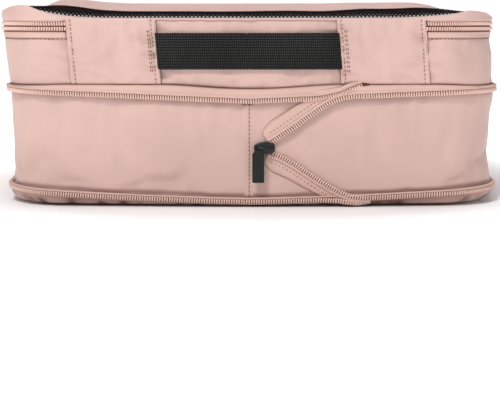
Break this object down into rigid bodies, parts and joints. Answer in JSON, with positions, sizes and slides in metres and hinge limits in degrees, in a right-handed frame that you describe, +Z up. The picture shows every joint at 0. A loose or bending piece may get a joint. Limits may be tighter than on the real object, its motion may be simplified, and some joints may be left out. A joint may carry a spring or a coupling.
{
  "type": "packing cube",
  "caption": "Soft rectangular packing cube with a compression zip round its middle, a zipped mesh lid hinged on the handle side and a flat webbing handle.",
  "frame": {"origin": "centre of the base panel's underside, where the cube stands", "axes": "+Z up through the lid, -Y towards the handle side, +X to the right seen from the handle side"},
  "size_m": [0.3558, 0.2641, 0.1439],
  "materials": {
    "rose_fabric": "satin woven polyester",
    "zip_coil": "nylon coil",
    "zip_tape": "matt woven tape",
    "binding": "matt woven tape",
    "black_mesh": "knitted mesh",
    "webbing": "ribbed polypropylene webbing",
    "slider_metal": "matt charcoal paint",
    "tab_rubber": "matt"
  },
  "bodies": {
    "base": {"base_panel": "rose_fabric", "base_skirt": "rose_fabric", "base_seam_binding": "binding", "gusset_wall": "rose_fabric", "gusset_lap_seam": "rose_fabric", "tail_coil_upper": "zip_coil", "tail_tape_upper": "zip_tape", "tail_coil_lower": "zip_coil", "tail_tape_lower": "zip_tape"},
    "lower_rim": {"lower_zip_tape": "zip_tape", "lower_zip_coil": "zip_coil"},
    "upper_shell": {"upper_zip_coil": "zip_coil", "upper_zip_tape": "zip_tape", "upper_seam_binding": "binding", "wrap_wall": "rose_fabric", "handle_panel_left": "rose_fabric", "handle_panel_right": "rose_fabric", "front_centre_panel": "rose_fabric", "main_zip_lower_tape": "zip_tape", "main_zip_lower_coil": "zip_coil", "hinge_seam_binding": "binding"},
    "handle": {"webbing_handle": "webbing"},
    "lid": {"lid_rim": "rose_fabric", "mesh_window": "black_mesh", "window_binding": "black_mesh", "main_zip_upper_coil": "zip_coil", "main_zip_upper_tape": "zip_tape"},
    "compression_slider": {"compression_slider": "slider_metal"},
    "compression_pull_tab": {"compression_pull_tab": "tab_rubber"},
    "main_left_slider": {"main_left_slider": "slider_metal"},
    "main_left_pull_tab": {"main_left_pull_tab": "tab_rubber"},
    "main_right_slider": {"main_right_slider": "slider_metal"},
    "main_right_pull_tab": {"main_right_pull_tab": "tab_rubber"}
  },
  "joints": [
    {"name": "compress", "type": "slide", "parent": "base", "child": "upper_shell", "axis": [0, 0, -1], "range_m": [0, 0.0497], "deforming": ["gusset_wall", "gusset_lap_seam", "tail_coil_upper", "tail_tape_upper", "tail_coil_lower", "tail_tape_lower"]},
    {"name": "rim_lift", "type": "slide", "parent": "base", "child": "lower_rim", "axis": [0, 0, 1], "range_m": [0, 0.0149], "deforming": ["base_skirt"]},
    {"name": "lid_hinge", "type": "hinge", "parent": "upper_shell", "child": "lid", "pos_m": [0, -0.1259, 0.13], "axis": [1, 0, 0], "range_deg": [0, 180]},
    {"name": "handle_pull", "type": "slide", "parent": "upper_shell", "child": "handle", "axis": [0, -1, 0], "range_m": [0, 0.018]},
    {"name": "compression_slider_run", "type": "slide", "parent": "base", "child": "compression_slider", "axis": [0.9521, 0.011, -0.3056], "range_m": [0, 0.06197]},
    {"name": "compression_tab_swing", "type": "hinge", "parent": "compression_slider", "child": "compression_pull_tab", "pos_m": [0.0057, -0.13129, 0.04127], "axis": [-1, 0, 0], "range_deg": [0, 160]},
    {"name": "main_left_slider_run", "type": "slide", "parent": "upper_shell", "child": "main_left_slider", "axis": [-1, 0, 0], "range_m": [0, 0.108]},
    {"name": "main_left_tab_swing", "type": "hinge", "parent": "main_left_slider", "child": "main_left_pull_tab", "pos_m": [-0.0077, 0.1288, 0.1249], "axis": [1, 0, 0], "range_deg": [0, 160]},
    {"name": "main_right_slider_run", "type": "slide", "parent": "upper_shell", "child": "main_right_slider", "axis": [1, 0, 0], "range_m": [0, 0.108]},
    {"name": "main_right_tab_swing", "type": "hinge", "parent": "main_right_slider", "child": "main_right_pull_tab", "pos_m": [0.0163, 0.1288, 0.1249], "axis": [1, 0, 0], "range_deg": [0, 160]}
  ],
  "couplings": [
    {"joint": "rim_lift", "follows": "compress", "ratio": 0.29979},
    {"joint": "compression_slider_run", "follows": "compress", "ratio": 1.2468}
  ]
}
